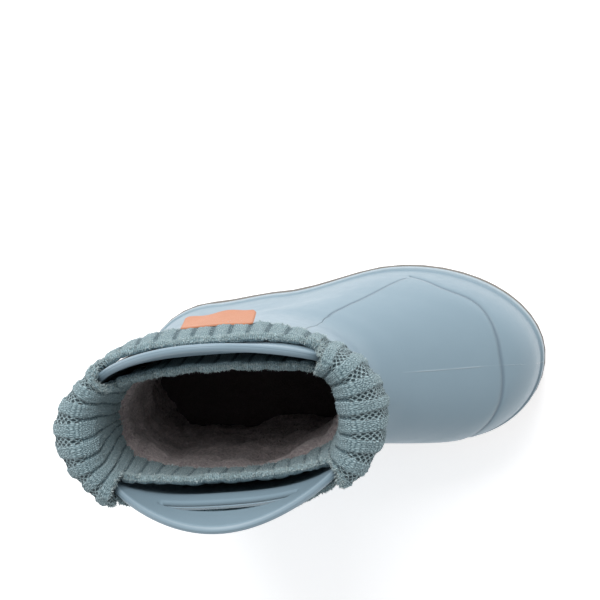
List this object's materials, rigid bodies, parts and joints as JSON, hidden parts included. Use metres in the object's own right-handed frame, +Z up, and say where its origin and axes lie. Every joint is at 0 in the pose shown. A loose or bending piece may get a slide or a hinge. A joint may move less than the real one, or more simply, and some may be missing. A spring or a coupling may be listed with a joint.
{
  "type": "rubber boot",
  "caption": "Toddler's left rubber boot with upright moulded pull handles, a folded rib-knit cuff and a lugged sole, standing empty",
  "frame": {"origin": "centre of the heel's tread, on the floor", "axes": "+X to the toe, +Y to the lateral side (the wearer's left), +Z up"},
  "size_m": [0.1709, 0.0755, 0.1775],
  "materials": {
    "moulded_rubber": "satin grey-blue",
    "tread_rubber": "matt grey-brown",
    "felt": "dark felt",
    "rib_knit": "soft grey-blue rib knit",
    "label_leather": "smooth tan-orange"
  },
  "bodies": {
    "root": {"upper": "moulded_rubber", "outsole": "tread_rubber", "insole": "felt", "knit_cuff": "rib_knit", "label": "label_leather"}
  },
  "joints": []
}
